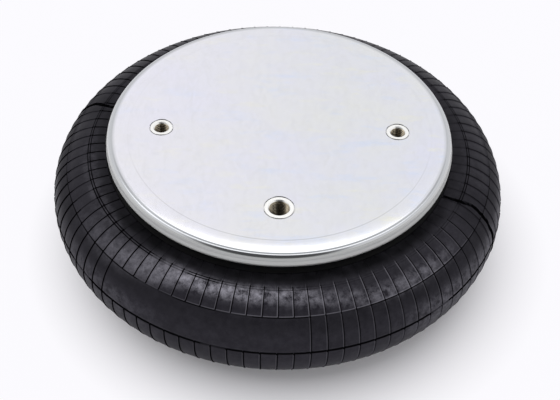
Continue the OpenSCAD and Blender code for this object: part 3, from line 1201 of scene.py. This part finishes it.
# On the far left half of it is a painted sheen that is even and has no spots
even = smooth(15, 40, -from_inlet)
even_film = EVEN_SHEEN * even * across * long_patch
film = film * (1 - 0.5 * even)
print("Film from", round(float(film.min()), 2), "to", round(float(film.max()), 2))

# %% Painted highlights on the crests, painted shade and dark bands
CREST_HIGHLIGHT = 0.35
RIM_SHADE = 0.9
SHOULDER_DARK = 0.35
SEAM_SHADE = 0.35


def hold_numbers(piece, **values):
    """Stores a number for each of a mesh's points, for its material to read"""
    for name, value in values.items():
        layer = piece.data.attributes.new(name, "FLOAT", "POINT")
        layer.data.foreach_set("value", np.asarray(value, dtype=np.float32).ravel())


# A painted highlight lies on the crests on the side that faces the inlet's right, most above the shoulder line
crest_lit = smooth(-45, 0, from_inlet) * (1 - smooth(40, 70, from_inlet))
crest_lit = crest_lit * (0.4 + 0.6 * smooth(40, 52, latitude))
crest = CREST_HIGHLIGHT * crest * crest_lit * (1 - smooth(74, 80, latitude))
# Painted shade lies close to the rims and beside a seam, and the rubber is painted darker below the shoulder
# line
from_seam, _ = nearest(angles, seams)
by_rim = RIM_SHADE * smooth(74, 86, np.abs(latitude)) * (1 - 0.6 * smooth(45, 75, aside))
below_shoulder = SHOULDER_DARK * smooth(20, 38, latitude) * (1 - smooth(44, 47, latitude))
beside_seam = SEAM_SHADE * (1 - smooth(3, 10, np.abs(from_seam))) * smooth(30, 42, latitude)
dark_bands = np.maximum(by_rim, np.maximum(below_shoulder, beside_seam))
hold_numbers(cover, bloom=film, even_film=crest + even_film, mould_line=np.maximum(line, dark_bands))
print("Cover holds", [layer.name for layer in cover.data.attributes if layer.data_type == "FLOAT"])

# %% [markdown]
# ## Layers and beads
#
# The rubber wall is the one part that changes shape when the plates move. Its four layers and both beads
# bend between the plates as one: near a plate a point goes with it, and half way up it goes half as far.
# Armatures could do that. A blend weight on each point is used instead. The frame's own blend is used,
# since it also reaches the exported model.

# %% Layers under the cover
PLY = 1.3
LINER = 1.7
BOND = 0.12
LAYER_ROWS = 46
LAYER_STEPS = 180

layers = []
outside = SKIN_R - COVER - BOND
up = np.linspace(-SWEEP, SWEEP, LAYER_ROWS)
there_and_back = np.concatenate([up, up[::-1]])
round_axis = np.radians(round_steps(LAYER_STEPS))[:, None] * widest * MM
# The inner ply is laid the other way round, so that its cords cross those of the outer one
for name, node, slot, thickness, lay, finish in (
    ("outer_ply", "outer_cord_ply", "cord_rubber", PLY, 1, cord_rubber),
    ("inner_ply", "inner_cord_ply", "cord_rubber", PLY, -1, cord_rubber),
    ("liner", "inner_liner", "liner_rubber", LINER, 1, liner_rubber),
):
    outline = wall_arc(outside, up) + wall_arc(outside - thickness, up[::-1])
    layer = turned(name, [outline], round_steps(LAYER_STEPS))
    layer.data.materials.append(finish)
    hold_numbers(
        layer,
        around=np.repeat(lay * round_axis, len(there_and_back), axis=1),
        along=np.tile(np.radians(there_and_back) * SKIN_R * MM, (LAYER_STEPS, 1)),
    )
    layers.append((layer, node, slot))
    outside -= thickness + BOND
print("Chamber wall begins at", round(outside + BOND, 2), "mm from the section's centre")

# %% Beads in the rims
SEAT = 0.2
CORE_R = 1.5
CORE_FIT = 0.1
BULB_R = 2.25
BULB_AT = (110.55, 5.55)
TOE_R = 8.31
WALL_SWEEP = 95
LINER_IN = 28.14
BEAD_CREASE = 40

lip = (LIP_R, RIM_DEPTH - SHEET / 2)
sheet_inside = SHEET + SEAT
toe_end = 180 + math.degrees(math.asin((lip[1] - sheet_inside) / TOE_R))
bead_outline = [
    *arc(BULB_AT, BULB_R, -90, 90, 14),
    *arc(lip, SHEET / 2 + SEAT, -90, -270, 14),
    *(wall_arc(radius, [-WALL_SWEEP])[0] for radius in (SKIN_R, LINER_IN)),
    *arc(lip, TOE_R, 90, toe_end, 20),
]
core_hole = arc(BULB_AT, CORE_R + CORE_FIT, 360, 18, 19)
beads = [bead_outline, core_hole]
raised = [[(radius, HEIGHT - height) for radius, height in reversed(loop)] for loop in beads]
for side, loops in (("bottom", beads), ("top", raised)):
    bead = turned(f"{side}_bead", loops, round_steps(LAYER_STEPS))
    bead.data.materials.append(bead_rubber)
    bead.data.set_sharp_from_angle(angle=math.radians(BEAD_CREASE))
    layers.append((bead, f"{side}_bead_filler", "bead_rubber"))
print("Bead of", len(bead_outline), "section points")

# %% Bend the rubber between the plates
BLEND_FROM = 4 * MM
BLEND_TO = (HEIGHT - 4) * MM
for piece, node, slot in layers + [(cover, "outer_cover", "cover_rubber")]:
    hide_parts(node)
    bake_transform(piece, "lower_plate_set", "upper_plate_set", start=(0, 0, BLEND_FROM), end=(0, 0, BLEND_TO))
print(len(layers) + 1, "rubber pieces bend with the stroke")

# %% [markdown]
# ## Pieces that keep their solids
#
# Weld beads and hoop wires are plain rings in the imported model, and that is their real shape. They could be
# turned again like the rest, but they only need their finishes, which go on the solids' own material slots.

# %% Finish the welds and wires
for name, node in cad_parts.items():
    finish = weld_steel if name.endswith("_weld") else hoop_wire if name.endswith("_core") else None
    if finish:
        for place in node.material_slots:
            place.material = finish
        print(name, "gets", finish.name)
